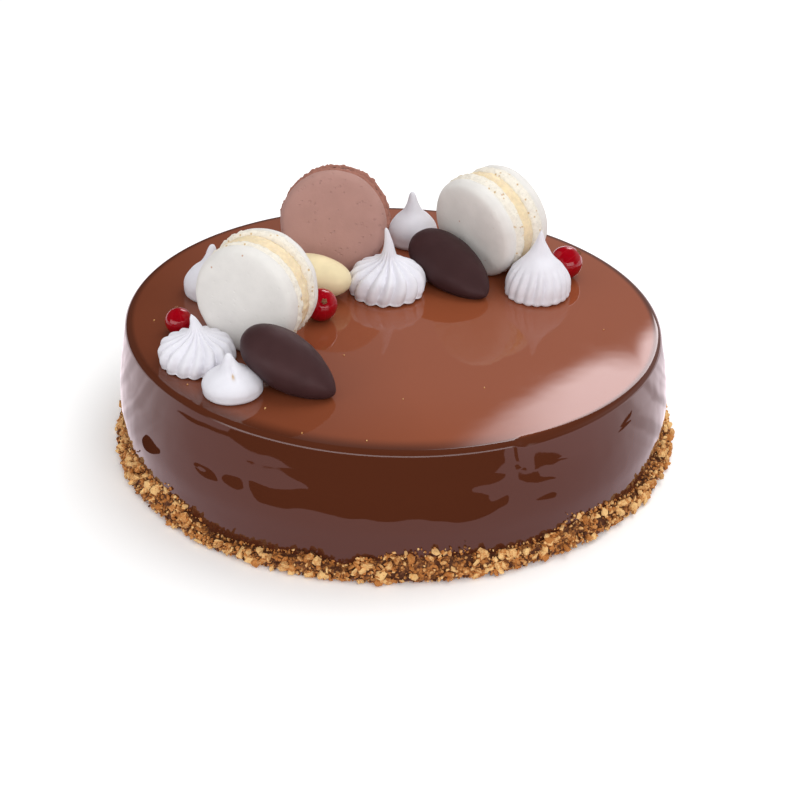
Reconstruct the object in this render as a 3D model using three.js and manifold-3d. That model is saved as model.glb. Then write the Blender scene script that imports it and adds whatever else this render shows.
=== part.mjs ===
// A mirror-glazed mousse cake with a crumb border round its foot, topped with three macarons, three piped
// star meringues, three smooth meringue kisses, three chocolate almonds and three red berries.
// Units are millimetres and +Z is up. The origin is the middle of the cake's flat base, and -Y is its front.
import * as THREE from "three";
import { mergeVertices } from "three/addons/utils/BufferGeometryUtils.js";
import Module from "manifold-3d";

const wasm = await Module();
wasm.setup();
const { Manifold, Mesh: SolidMesh } = wasm;

// ---------------------------------------------------------------- driving dimensions
const RIM_RADIUS = 95; // outside of the glaze at the top edge
const BELLY_RADIUS = 98.3; // where the glaze is thickest on the side
const BELLY_HEIGHT = 20;
const CAKE_HEIGHT = 46; // at the middle of the top
const TOP_SLOPE_X = -0.0293; // the top falls towards +X: the left side is the taller one
const TOP_SLOPE_Y = -0.0066;
const RIM_ROUND = 2.2; // radius of the rounded top edge
const SIDE_RIPPLE = 0.35; // how far the glaze runs stand proud of the side
const CAKE_SEGMENTS = 64;

// The crumbs banked up against the foot: the outline of the bank from the bottom up, as [radius, height], how
// uneven it is outwards and upwards, and the larger crumbs that stick out of it.
const BANK = [[98.6, 0], [100.4, 1.5], [100.1, 4], [98.9, 7], [97.6, 9.4]];
const BANK_ROUGHNESS = [0.8, 1.5];
const CRUMB_COUNT = 104;
const CRUMB_SIZES = [1.6, 3.6]; // smallest and largest crumb, from its middle to a corner
const CRUMB_REACH = [0, 0.55]; // how far out of the bank a crumb's middle lies, as a share of its size
const CRUMB_SEED = 20;

const CLEARANCE = 0.3; // between a topping and what it touches

// The parts of a macaron that don't change: domeHeight is the smooth cap above the ruffled foot, frill the
// roughness of that foot, and inset how far the filling stands back from it.
const MACARON = { domeHeight: 5.6, frill: 0.45, inset: 1.6, segments: 22 };

// Toppings: x and y are places on the top, and every angle is in degrees. rise is the height of a topping's middle
// above the glaze, where it doesn't follow from its size.
// A macaron stands on its edge. Its front biscuit faces heading, measured from +X towards +Y, and pitch leans that
// face up. slip is how far the back biscuit has moved up against the front one.
const MACARONS = [
  { name: "macaron_left", x: -46.6, y: -21.4, rise: 17.8, radius: 19.8, heading: 245, pitch: 4.5,
    foot: 3.2, filling: 5.6, slip: 1.5, tint: "cream" },
  { name: "macaron_back", x: -21.7, y: 41.8, rise: 16.9, radius: 20.2, heading: 263.5, pitch: 14.5,
    foot: 2.8, filling: 2.6, slip: 0.3, tint: "cocoa" },
  { name: "macaron_right", x: 36.1, y: 42.1, rise: 19.4, radius: 19.7, heading: 224.2, pitch: -7.5,
    foot: 4.8, filling: 4.2, slip: -1.4, tint: "cream" },
];

// Outlines of piped toppings, from the middle of the base to the point: [share of the radius, share of the height].
const LOW_ROSETTE = [[0, 0], [0.9, 0], [1, 0.14], [1, 0.34], [0.86, 0.48], [0.5, 0.57], [0.2, 0.63], [0.11, 0.76],
  [0.06, 0.9], [0, 1]];
const ROSETTE = [[0, 0], [0.9, 0], [1, 0.11], [1, 0.27], [0.88, 0.38], [0.52, 0.46], [0.2, 0.52], [0.11, 0.64],
  [0.06, 0.85], [0, 1]];
const ONION = [[0, 0], [0.9, 0], [1, 0.12], [0.96, 0.26], [0.83, 0.38], [0.6, 0.5], [0.34, 0.64], [0.16, 0.8],
  [0.07, 0.93], [0, 1]];

// Piped with a star nozzle: ridges counts the pleats, twist turns them round the topping, smoothAbove is where they
// fade out, and lean tips the point over.
const STARS = [
  { name: "star_left", x: -66, y: -39.8, radius: 13.1, height: 18.4, outline: LOW_ROSETTE, ridges: 16,
    depth: 0.08, twist: 22, smoothAbove: 0.5, lean: [-2, 0.4] },
  { name: "star_middle", x: -2.6, y: 17.6, radius: 14.3, height: 25.6, outline: ROSETTE, ridges: 15, depth: 0.09,
    twist: 34, smoothAbove: 0.42, lean: [-0.6, 0] },
  { name: "star_right", x: 52.4, y: 19.7, radius: 12, height: 26, outline: ONION, ridges: 19, depth: 0.05,
    twist: 16, smoothAbove: 0.3, lean: [0.6, 0] },
];

// Piped with a round nozzle.
const DROP = [[0, 0], [0.86, 0], [1, 0.17], [0.95, 0.34], [0.74, 0.5], [0.42, 0.65], [0.2, 0.8], [0.09, 0.93],
  [0, 1]];
const KISSES = [
  { name: "kiss_front", x: -52.8, y: -59.2, radius: 9.9, height: 14.4, lean: [-0.9, 0] },
  { name: "kiss_left", x: -65.9, y: 12.8, radius: 9.8, height: 19.4, lean: [1.2, 0] },
  { name: "kiss_back", x: 7.4, y: 61.3, radius: 9.4, height: 21, lean: [-0.4, 0] },
];

// The pointed end aims along heading and tilts down by dip, and roll turns the flatter faces out of the level.
const ALMONDS = [
  { name: "almond_left", x: -34.3, y: -54.8, rise: 8.8, length: 36.4, width: 20.6, thickness: 17.9, heading: -27.7,
    dip: 23, roll: 0, tint: "dark" },
  { name: "almond_middle", x: 20.8, y: 25.7, rise: 7.5, length: 38.5, width: 20.9, thickness: 15.6, heading: -47,
    dip: 17, roll: 15, tint: "dark" },
  { name: "almond_white", x: -30.8, y: 16.9, rise: 6.9, length: 34, width: 17, thickness: 14.4, heading: 150,
    dip: 1, roll: 0, tint: "ivory" },
];

// eye is the way the dried flower end points, in the x, y, z order.
const BERRIES = [
  { name: "berry_left", x: -74.2, y: -18.6, radius: 4.8, eye: [-0.2, 0.6, 0.8] },
  { name: "berry_middle", x: -25.7, y: -5.2, radius: 5.9, eye: [0.25, -0.75, 0.6] },
  { name: "berry_right", x: 63.8, y: 34.4, radius: 6.1, eye: [0.8, 0.2, 0.6] },
];

// ---------------------------------------------------------------- materials
const finish = (color, roughness) => new THREE.MeshStandardMaterial({ color, roughness, metalness: 0 });
const FINISHES = {
  glaze: finish(0x7a4028, 0.08),
  cream: finish(0xe9e4d8, 0.7),
  cocoa: finish(0xa97868, 0.75),
  vanilla: finish(0xf0d9a8, 0.6),
  ganache: finish(0x5a3226, 0.5),
  meringue: finish(0xf2f0f4, 0.6),
  dark: finish(0x3a2320, 0.35),
  ivory: finish(0xf0dfa6, 0.3),
  berry: finish(0xa00c18, 0.15),
};

// ---------------------------------------------------------------- solids
function solidOf(geometry) {
  const bare = geometry.clone();
  bare.deleteAttribute("normal");
  bare.deleteAttribute("uv");
  const merged = mergeVertices(bare, 1e-3);
  return new Manifold(
    new SolidMesh({
      numProp: 3,
      vertProperties: new Float32Array(merged.attributes.position.array),
      triVerts: new Uint32Array(merged.index.array),
    }),
  );
}

function geometryOf(solid) {
  const mesh = solid.getMesh();
  const geometry = new THREE.BufferGeometry();
  geometry.setAttribute("position", new THREE.BufferAttribute(mesh.vertProperties, 3));
  geometry.setIndex(new THREE.BufferAttribute(mesh.triVerts, 1));
  geometry.computeVertexNormals();
  return geometry;
}

// A body of revolution about +Z. profile lists [radius, height] from the bottom of the axis to the top, and shape
// may then move each point, given as { row, column, angle, radius, height, lean }, by changing those values.
function turned(profile, segments, shape) {
  const points = profile.map(([radius, height]) => new THREE.Vector2(radius, height));
  const geometry = new THREE.LatheGeometry(points, segments);
  geometry.rotateX(Math.PI / 2);
  if (!shape) return geometry;
  const position = geometry.attributes.position;
  for (let i = 0; i < position.count; i += 1) {
    const point = {
      row: i % profile.length,
      column: Math.floor(i / profile.length) % segments,
      angle: Math.atan2(position.getY(i), position.getX(i)),
      radius: Math.hypot(position.getX(i), position.getY(i)),
      height: position.getZ(i),
      lean: [0, 0],
    };
    shape(point);
    position.setXYZ(
      i,
      point.radius * Math.cos(point.angle) + point.lean[0],
      point.radius * Math.sin(point.angle) + point.lean[1],
      point.height,
    );
  }
  return geometry;
}

// Seeded random numbers from 0 to 1, so that every build gives the same cake.
function seeded(seed) {
  let state = seed;
  return () => {
    state = (state + 0x6d2b79f5) | 0;
    let mixed = Math.imul(state ^ (state >>> 15), 1 | state);
    mixed = (mixed + Math.imul(mixed ^ (mixed >>> 7), 61 | mixed)) ^ mixed;
    return ((mixed ^ (mixed >>> 14)) >>> 0) / 4294967296;
  };
}

const radians = THREE.MathUtils.degToRad;
const topHeight = (x, y) => CAKE_HEIGHT + TOP_SLOPE_X * x + TOP_SLOPE_Y * y;

// ---------------------------------------------------------------- the glazed cake and its crumb border
function cakeProfile() {
  const side = [
    [0, 0],
    ...BANK,
    [BELLY_RADIUS - 0.5, 12.5],
    [BELLY_RADIUS, BELLY_HEIGHT],
    [BELLY_RADIUS - 0.8, 29],
    [BELLY_RADIUS - 2.2, 37],
  ];
  const steps = 4;
  for (let i = 0; i <= steps; i += 1) {
    const turn = (i / steps) * (Math.PI / 2);
    side.push([
      RIM_RADIUS - RIM_ROUND * (1 - Math.cos(turn)),
      CAKE_HEIGHT - RIM_ROUND * (1 - Math.sin(turn)),
    ]);
  }
  side.push([0, CAKE_HEIGHT]);
  return side;
}

function glazedBody() {
  const random = seeded(CRUMB_SEED + 1);
  const uneven = BANK.map(() => Array.from({ length: CAKE_SEGMENTS }, () => [random() - 0.5, random() - 0.5]));
  return turned(cakeProfile(), CAKE_SEGMENTS, (point) => {
    const share = point.height / CAKE_HEIGHT;
    if (point.row > 0 && point.row <= BANK.length) {
      const [outwards, upwards] = uneven[point.row - 1][point.column];
      point.radius += 2 * BANK_ROUGHNESS[0] * outwards;
      point.height += 2 * BANK_ROUGHNESS[1] * upwards * (share / 0.2);
    } else if (share > 0 && point.radius > RIM_RADIUS - 0.1) {
      const run = Math.sin(7 * point.angle + 3 * share) + 0.6 * Math.sin(13 * point.angle - 4 * share + 1);
      point.radius += SIDE_RIPPLE * Math.sin(Math.PI * share) * run;
    }
    const x = point.radius * Math.cos(point.angle);
    const y = point.radius * Math.sin(point.angle);
    point.height += share * (topHeight(x, y) - CAKE_HEIGHT);
  });
}

function crumb(size, random) {
  const geometry = new THREE.IcosahedronGeometry(size, 0);
  const corners = mergeVertices(geometry.deleteAttribute("normal").deleteAttribute("uv"), 1e-3);
  const position = corners.attributes.position;
  for (let i = 0; i < position.count; i += 1) {
    const jitter = 0.72 + 0.45 * random();
    position.setXYZ(i, position.getX(i) * jitter, position.getY(i) * jitter, position.getZ(i) * jitter);
  }
  corners.scale(1, 1, 0.62 + 0.3 * random());
  corners.rotateX(random() * Math.PI).rotateY(random() * Math.PI).rotateZ(random() * Math.PI);
  return corners;
}

// How far the outside of the bank is from the cake's middle at a height.
function bankRadius(height) {
  const above = Math.max(1, BANK.findIndex((point) => point[1] > height));
  const [low, high] = [BANK[above - 1], BANK[above]];
  return THREE.MathUtils.mapLinear(height, low[1], high[1], low[0], high[0]);
}

function crumbBorder() {
  const random = seeded(CRUMB_SEED);
  const [smallest, largest] = CRUMB_SIZES;
  const crumbs = [];
  for (let i = 0; i < CRUMB_COUNT; i += 1) {
    const angle = ((i + 0.6 * random()) / CRUMB_COUNT) * 2 * Math.PI;
    const upper = i % 2 === 1; // every other crumb clings higher up
    const size = smallest + (largest - smallest) * random() ** 1.6 * (upper ? 0.7 : 1);
    const height = upper ? 4.5 + 4.4 * random() : size * 0.55;
    const out = bankRadius(height) + size * THREE.MathUtils.lerp(...CRUMB_REACH, random());
    const piece = crumb(size, random);
    piece.translate(out * Math.cos(angle), out * Math.sin(angle), height);
    crumbs.push(solidOf(piece));
  }
  return crumbs;
}

function cake() {
  const belowBase = new THREE.BoxGeometry(300, 300, 40).translate(0, 0, -20);
  const joined = Manifold.union([solidOf(glazedBody()), ...crumbBorder()]).subtract(solidOf(belowBase));
  const [whole] = joined.decompose().sort((a, b) => b.volume() - a.volume()); // without loose scraps
  const mesh = new THREE.Mesh(geometryOf(whole), FINISHES.glaze);
  mesh.name = "cake";
  return mesh;
}

// ---------------------------------------------------------------- toppings
// Everything below the top, raised by the clearance, as a slab that follows the slope of the top.
function belowTop() {
  const slab = new THREE.BoxGeometry(240, 240, 60).translate(0, 0, -30);
  const slope = new THREE.Matrix4().set(
    1, 0, 0, 0,
    0, 1, 0, 0,
    TOP_SLOPE_X, TOP_SLOPE_Y, 1, CAKE_HEIGHT + CLEARANCE,
    0, 0, 0, 1,
  );
  return solidOf(slab.applyMatrix4(slope));
}
const GLAZE_SLAB = belowTop();

// Cuts off what a mesh would sink below the top, in the mesh's own coordinates.
function seatOnTop(mesh) {
  mesh.updateWorldMatrix(true, false);
  const toLocal = mesh.matrixWorld.clone().invert();
  mesh.geometry = geometryOf(solidOf(mesh.geometry).subtract(GLAZE_SLAB.transform(toLocal.elements)));
  return mesh;
}

function biscuitProfile(radius, foot) {
  return [
    [0, 0],
    [radius * 0.93, 0],
    [radius, foot * 0.4],
    [radius * 0.955, foot],
    [radius * 0.975, foot + 0.9],
    [radius * 0.95, foot + 2.3],
    [radius * 0.86, foot + MACARON.domeHeight - 1.3],
    [radius * 0.6, foot + MACARON.domeHeight - 0.3],
    [0, foot + MACARON.domeHeight],
  ];
}

function macaronBiscuit(radius, foot, random) {
  const frills = Array.from({ length: MACARON.segments }, () => MACARON.frill * (random() - 0.4));
  return turned(biscuitProfile(radius, foot), MACARON.segments, (point) => {
    if (point.radius > radius * 0.98) point.radius += frills[point.column];
  });
}

function macaronFilling(radius, thickness) {
  const outer = radius - MACARON.inset;
  const half = thickness / 2 - CLEARANCE;
  return turned([[0, -half], [outer, -half], [outer + 0.5, 0], [outer, half], [0, half]], 20);
}

function macaron(spec, index) {
  const random = seeded(100 + index);
  const [biscuit, filling] = spec.tint === "cocoa" ? ["cocoa", "ganache"] : ["cream", "vanilla"];
  const group = new THREE.Group();
  const front = new THREE.Mesh(macaronBiscuit(spec.radius, spec.foot, random), FINISHES[biscuit]);
  const middle = new THREE.Mesh(macaronFilling(spec.radius, spec.filling), FINISHES[filling]);
  const back = new THREE.Mesh(macaronBiscuit(spec.radius, spec.foot, random), FINISHES[biscuit]);
  front.name = `${spec.name}_front`;
  middle.name = `${spec.name}_filling`;
  back.name = `${spec.name}_back`;
  front.position.z = spec.filling / 2;
  middle.position.y = spec.slip / 2;
  back.position.set(0, spec.slip, -spec.filling / 2);
  back.rotation.x = Math.PI;
  group.add(front, middle, back);

  // The group's +Z becomes the way the front biscuit faces, and its +Y the way up along the biscuit.
  const turn = new THREE.Euler(Math.PI / 2 - radians(spec.pitch), 0, radians(spec.heading + 90), "ZXY");
  group.quaternion.setFromEuler(turn);
  group.position.set(spec.x, spec.y, topHeight(spec.x, spec.y) + spec.rise);
  group.updateWorldMatrix(true, true);
  [front, middle, back].forEach(seatOnTop);
  return group;
}

// The point of a piped topping leans over more the higher it goes.
const leanAt = (lean, share) => lean.map((reach) => reach * share ** 2);

function starMeringue(spec) {
  const { radius, height, outline, ridges, depth, twist, smoothAbove, lean } = spec;
  const profile = outline.map(([out, up]) => [out * radius, up * height]);
  return turned(profile, 2 * ridges, (point) => {
    const share = point.height / height;
    const fade = THREE.MathUtils.clamp(1 - (share - smoothAbove) / 0.25, 0, 1);
    if (point.column % 2 === 1) point.radius *= 1 - 2 * depth * fade; // a valley between two crests
    point.angle += radians(twist) * share;
    point.lean = leanAt(lean, share);
  });
}

function smoothKiss(spec) {
  const { radius, height, lean } = spec;
  const profile = DROP.map(([out, up]) => [out * radius, up * height]);
  return turned(profile, 18, (point) => {
    point.lean = leanAt(lean, point.height / height);
  });
}

// Turned about its long axis, widest nearer the round end, and pressed a little flat.
function almondBody(spec) {
  const steps = 9;
  const profile = [];
  for (let i = 0; i <= steps; i += 1) {
    const along = 0.5 * (1 - Math.cos((Math.PI * i) / steps)); // 0 at the round end, 1 at the point
    const girth = along ** 0.5 * (1 - along) ** 0.72 * 1.995;
    profile.push([i === 0 || i === steps ? 0 : girth * (spec.width / 2), (along - 0.5) * spec.length]);
  }
  const body = turned(profile, 16);
  body.rotateY(Math.PI / 2);
  return body.scale(1, 1, spec.thickness / spec.width);
}

function berryBody(spec) {
  const steps = 7;
  const profile = [];
  for (let i = 0; i < steps; i += 1) {
    const polar = (Math.PI * i) / steps;
    profile.push([spec.radius * Math.sin(polar), -spec.radius * Math.cos(polar)]);
  }
  // the dried flower end stands out of the top as a small tuft
  profile.push([spec.radius * 0.2, spec.radius * 0.98]);
  profile.push([spec.radius * 0.16, spec.radius * 1.12]);
  profile.push([0, spec.radius * 1.1]);
  return turned(profile, 12);
}

// A topping on the glaze, with its middle or its base at rise above it.
function onTop(spec, geometry, material, rise) {
  const mesh = new THREE.Mesh(geometry, material);
  mesh.name = spec.name;
  mesh.position.set(spec.x, spec.y, topHeight(spec.x, spec.y) + rise);
  return mesh;
}

function starOnTop(spec) {
  return seatOnTop(onTop(spec, starMeringue(spec), FINISHES.meringue, 0));
}

function kissOnTop(spec) {
  return seatOnTop(onTop(spec, smoothKiss(spec), FINISHES.meringue, 0));
}

function almondOnTop(spec) {
  const mesh = onTop(spec, almondBody(spec), FINISHES[spec.tint], spec.rise);
  const turn = [spec.roll, spec.dip, spec.heading].map(radians);
  mesh.quaternion.setFromEuler(new THREE.Euler(...turn, "ZYX"));
  return seatOnTop(mesh);
}

function berryOnTop(spec) {
  const mesh = onTop(spec, berryBody(spec), FINISHES.berry, spec.radius - 0.2);
  const eye = new THREE.Vector3(...spec.eye).normalize();
  mesh.quaternion.setFromUnitVectors(new THREE.Vector3(0, 0, 1), eye);
  return seatOnTop(mesh);
}

// ---------------------------------------------------------------- the whole cake
const model = new THREE.Group();
model.add(
  cake(),
  ...MACARONS.map(macaron),
  ...STARS.map(starOnTop),
  ...KISSES.map(kissOnTop),
  ...ALMONDS.map(almondOnTop),
  ...BERRIES.map(berryOnTop),
);

export default model;
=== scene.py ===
"""A mousse cake under a poured milk chocolate mirror glaze, with a border of baked crumbs and a group of
macarons, piped meringues, chocolate almonds and red berries on top.

Lengths inside the piece-making functions are millimetres, and each finished mesh is scaled to metres. The
cake stands on z = 0 with its middle on the Z axis and its front towards -Y.
"""

import math
import random

import bmesh
import bpy
import numpy as np
from mathutils import Matrix, Vector, noise

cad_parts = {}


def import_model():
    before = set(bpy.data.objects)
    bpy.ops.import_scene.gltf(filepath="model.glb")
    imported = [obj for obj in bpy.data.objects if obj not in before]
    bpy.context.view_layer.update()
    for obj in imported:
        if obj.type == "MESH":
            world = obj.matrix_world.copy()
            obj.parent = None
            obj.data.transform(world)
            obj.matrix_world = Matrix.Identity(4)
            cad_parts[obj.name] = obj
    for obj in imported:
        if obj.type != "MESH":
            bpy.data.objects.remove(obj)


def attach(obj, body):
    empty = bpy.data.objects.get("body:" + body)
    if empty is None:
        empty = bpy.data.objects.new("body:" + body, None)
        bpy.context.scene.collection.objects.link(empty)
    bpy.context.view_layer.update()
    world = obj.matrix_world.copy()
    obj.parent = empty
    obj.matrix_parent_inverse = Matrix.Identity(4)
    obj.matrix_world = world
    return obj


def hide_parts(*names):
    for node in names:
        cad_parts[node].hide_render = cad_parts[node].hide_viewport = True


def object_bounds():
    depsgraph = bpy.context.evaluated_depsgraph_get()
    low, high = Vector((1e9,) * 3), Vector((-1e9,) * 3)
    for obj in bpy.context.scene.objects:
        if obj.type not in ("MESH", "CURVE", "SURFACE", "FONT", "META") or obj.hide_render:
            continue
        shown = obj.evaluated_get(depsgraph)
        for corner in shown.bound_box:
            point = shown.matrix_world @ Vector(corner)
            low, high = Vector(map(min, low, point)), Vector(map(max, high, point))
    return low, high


bl_info = {
    "name": "Mirror-glazed mousse cake",
    "version": (1, 0, 0),
    "blender": (4, 5, 0),
    "location": "View3D > Sidebar > Cake",
    "description": "Builds the looks of a glazed mousse cake and its toppings round the cake's solids",
    "category": "Object",
}

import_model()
CAD_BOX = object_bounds()

MM = 0.001

# Gap left between a topping and the glaze, in millimetres.
GLAZE_GAP = 0.02

# How far the crumbs stay inside the solids' box, and above the floor, in metres.
BOX_MARGIN = 0.0001
FLOOR_MARGIN = 0.00002

# ---------------------------------------------------------------- shape of the cake, in millimetres
RIM_RADIUS = 95.0
BELLY_RADIUS = 98.3
BELLY_HEIGHT = 20.0
CAKE_HEIGHT = 46.0
TOP_SLOPE_X = -0.0293
TOP_SLOPE_Y = -0.0066
RIM_ROUND = 2.1
RIM_START = math.radians(10)

# Steps of the curve from each of the side's points to the next, and of the arc round the rim.
SIDE_STEPS = 8
RIM_STEPS = 12

# Where the glaze folded over itself the rim is rounder by extra: that grows from start to full and dies away
# up to end, in degrees from the front towards the right.
FOLD = dict(start=24.4, full=25.4, end=66.0, extra=1.5)

# Height above which the side gives way to that rounder rim, in millimetres.
FOLD_LOW = 36

# How strongly the flat top mirrors, and the rim and the side.
TOP_SHEEN = 0.3
SIDE_SHEEN = 0.5

# The glaze's top carries painted shade, lighter towards the right: darkest below the first value and unshaded
# above the second, in metres along this direction.
PAINTED_LIGHT_TOWARDS = (0.95, 0.22)
PAINTED_SHADE_DARKEST = -0.078
PAINTED_SHADE_GONE = 0.012

# The side of the glazed body from the bottom up, as (radius, height), below the rounded rim.
SIDE_OUTLINE = (
    (BELLY_RADIUS - 1.6, 0.0),
    (BELLY_RADIUS - 1.2, 5.0),
    (BELLY_RADIUS - 0.5, 12.5),
    (BELLY_RADIUS, BELLY_HEIGHT),
    (BELLY_RADIUS - 0.8, 29.0),
    (BELLY_RADIUS - 2.2, 37.0),
)
BANK_OUTLINE = ((98.6, 0.0), (100.4, 1.5), (100.1, 4.0), (98.9, 7.0), (97.6, 9.4))

# Stray crumbs that fell on the top, as (x, y, size).
SPECKS = (
    (-41.5, -69.5, 0.8), (-29, -84.5, 0.7), (-8.5, -88.2, 0.6), (3, -61, 0.5), (-17, -32, 0.6),
    (30, -52, 0.5), (-68, -55, 0.6), (-84, -10, 0.7), (-52, 44, 0.7), (61, 55, 0.6), (74, -8, 0.5),
)

# The bank of packed crumbs: how far its inner face lies inside the belly, its rows, its lowest and highest
# points, and how high it reaches against the loose crumbs.
BANK_DEPTH = 4
BANK_ROWS = 9
BANK_LOW = 0.15
BANK_HIGH = 9.2
BANK_REACH = 0.82

# The two sizes of loose crumb: the seeds of their places and shapes, the number of shapes and their
# flattening, the lowest place of a crumb's middle, and its width and depth, all three against its length.
FINE = dict(seed=301, shape_seed=311, shapes=8, flat=(0.7, 1.1), sunk=0.3, widths=(0.7, 1.2),
            depths=(0.5, 1.0))
COARSE = dict(seed=302, shape_seed=312, shapes=12, flat=(0.5, 1.1), sunk=0.32, widths=(0.6, 1.0),
              depths=(0.35, 0.8))

# How high the crumbs reach up the side, as (azimuth in degrees, height).
CRUMB_LINE = (
    (-156, 11.6), (-146, 11.3), (-137, 11.8), (-133, 8.2), (-127, 4.5), (-115, 6.5), (-106, 8.8), (-99, 5.1),
    (-96, 9.5), (-85, 12.4), (-77, 11.5), (-70, 8.3), (-60, 9.0), (-54, 12.3), (-46, 11.0), (-33, 5.9),
    (-25, 8.9), (-14, 7.6), (2, 10.0), (18, 7.0), (33, 11.0), (52, 6.5), (70, 10.5), (90, 8.0), (108, 11.5),
    (127, 6.8), (146, 10.4), (165, 7.6), (184, 9.8),
)

# ---------------------------------------------------------------- toppings, in millimetres and degrees
MACARONS = (
    dict(name="macaron_left", x=-46.6, y=-21.4, rise=17.8, radius=19.8, heading=245, pitch=4.5, foot=3.2,
         filling=5.6, slip=1.5, cocoa=False, seed=11),
    dict(name="macaron_back", x=-21.7, y=41.8, rise=16.9, radius=20.2, heading=263.5, pitch=14.5, foot=2.8,
         filling=2.6, slip=0.3, cocoa=True, seed=23),
    dict(name="macaron_right", x=36.1, y=42.1, rise=19.4, radius=19.7, heading=224.2, pitch=-7.5, foot=4.8,
         filling=4.2, slip=-1.4, cocoa=False, seed=37),
)
DOME_HEIGHT = 5.6
FILLING_INSET = 1.6

# Outlines from the middle of the base to the point, as (share of the radius, share of the height).
LOW_ROSETTE = ((0, 0), (0.84, 0), (0.97, 0.09), (1, 0.22), (0.96, 0.34), (0.82, 0.46), (0.48, 0.56),
               (0.24, 0.65), (0.14, 0.78), (0.08, 0.92), (0, 1))
ROSETTE = ((0, 0), (0.84, 0), (0.96, 0.07), (1, 0.17), (0.96, 0.28), (0.82, 0.38), (0.5, 0.47), (0.26, 0.54),
           (0.165, 0.64), (0.09, 0.84), (0.045, 0.96), (0, 1))
ONION = ((0, 0), (0.9, 0), (1, 0.12), (0.96, 0.26), (0.83, 0.38), (0.6, 0.5), (0.34, 0.64), (0.16, 0.8),
         (0.07, 0.93), (0, 1))
DROP = ((0, 0), (0.86, 0), (1, 0.17), (0.95, 0.34), (0.72, 0.5), (0.4, 0.64), (0.23, 0.79), (0.14, 0.93),
        (0.07, 0.99), (0, 1))

STARS = (
    dict(name="star_left", x=-66, y=-39.8, radius=13.1, height=18.4, outline=LOW_ROSETTE, ridges=16,
         depth=0.08, twist=22, smooth_above=0.62, lean=(-1.3, 0.4), bow=0.8, seed=41),
    dict(name="star_middle", x=-2.6, y=17.6, radius=14.3, height=25.6, outline=ROSETTE, ridges=15,
         depth=0.085, twist=34, smooth_above=0.52, lean=(-0.3, 0), bow=0.9, seed=43),
    dict(name="star_right", x=52.4, y=19.7, radius=12, height=26, outline=ONION, ridges=19, depth=0.05,
         twist=16, smooth_above=0.34, lean=(0.6, 0), bow=0, seed=47),
)
KISSES = (
    dict(name="kiss_front", x=-52.8, y=-59.2, radius=9.9, height=14.4, lean=(-0.9, 0), seed=53, bubble=True),
    dict(name="kiss_left", x=-65.9, y=12.8, radius=9.8, height=19.4, lean=(1.2, 0), seed=59, bubble=False),
    dict(name="kiss_back", x=7.4, y=61.3, radius=9.4, height=21, lean=(-0.4, 0), seed=61, bubble=False),
)
# The burst bubble in one kiss: the height share of its toasted bottom and of its dent's top, its angle round
# the kiss in degrees, and the reach and depth of the dent and the reach of the toasting in millimetres.
BUBBLE = dict(low=0.56, high=0.78, angle=-76, reach=0.85, depth=1.5, toasted=0.45)
ALMONDS = (
    dict(name="almond_left", x=-34.3, y=-54.8, rise=8.8, length=36.4, width=20.6, thickness=17.9,
         heading=-27.7, dip=23, roll=0, dark=True, seed=67),
    dict(name="almond_middle", x=20.8, y=25.7, rise=7.5, length=38.5, width=20.9, thickness=15.6,
         heading=-47, dip=17, roll=15, dark=True, seed=71),
    dict(name="almond_white", x=-30.8, y=16.9, rise=6.9, length=34, width=17, thickness=14.4,
         heading=150, dip=1, roll=0, dark=False, seed=73),
)
BERRIES = (
    dict(name="berry_left", x=-74.2, y=-18.6, radius=4.8, eye=(-0.2, 0.6, 0.8), seed=79),
    dict(name="berry_middle", x=-25.7, y=-5.2, radius=5.9, eye=(0.25, -0.75, 0.6), seed=83),
    dict(name="berry_right", x=63.8, y=34.4, radius=6.1, eye=(0.8, 0.2, 0.6), seed=89),
)


def top_height(x, y):
    """Height of the glaze's top at a place, in millimetres."""
    return CAKE_HEIGHT + TOP_SLOPE_X * x + TOP_SLOPE_Y * y


# ---------------------------------------------------------------- user settings
def colour(name, description, default):
    return bpy.props.FloatVectorProperty(
        name=name, description=description, default=default, subtype="COLOR", size=3, min=0.0, max=1.0
    )


class GlazeSettings(bpy.types.PropertyGroup):
    """The poured glaze."""

    # brown is the glaze's own colour; thin is painted shade on the left of the top, and side is painted shade
    # down the side and in a band inside the rim.
    brown: colour("Glaze", "Colour of the glaze where it lies thick on the top", (0.285, 0.074, 0.030))
    thin: colour("Thin glaze", "Colour where the glaze has drained off the top", (0.156, 0.041, 0.0185))
    side: colour("Side glaze", "Colour of the thin glaze down the side", (0.094, 0.0245, 0.011))
    wave: bpy.props.FloatProperty(
        name="Side waves", description="How far the runs stand out of the side",
        default=0.00028, min=0.0, max=0.001, unit="LENGTH", precision=5,
    )


class CrumbSettings(bpy.types.PropertyGroup):
    """The baked crumbs round the foot."""

    tan: colour("Tan crumb", "Colour of most crumbs", (0.56, 0.215, 0.052))
    pale: colour("Pale crumb", "Colour of the palest crumbs", (0.95, 0.60, 0.25))
    # The darkest crumbs, and also the painted shade of the crumb bank in the gaps between the loose crumbs.
    dark_crumb_and_gap_shade: colour("Dark crumb", "Colour of the darkest crumbs", (0.085, 0.027, 0.010))
    fine_count: bpy.props.IntProperty(
        name="Fine crumbs", description="How many fine crumbs cling to the foot", default=5200, min=0,
        max=9000,
    )
    coarse_count: bpy.props.IntProperty(
        name="Coarse crumbs", description="How many larger crumbs there are", default=1700, min=0, max=2400
    )


class MacaronSettings(bpy.types.PropertyGroup):
    """The macarons."""

    cream: colour("Cream biscuit", "Colour of the pale macarons", (0.86, 0.835, 0.80))
    cocoa: colour("Cocoa biscuit", "Colour of the cocoa macaron", (0.475, 0.265, 0.225))
    vanilla: colour("Vanilla filling", "Colour of the pale filling", (0.96, 0.79, 0.53))
    ganache: colour("Ganache filling", "Colour of the dark filling", (0.13, 0.045, 0.028))


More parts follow.
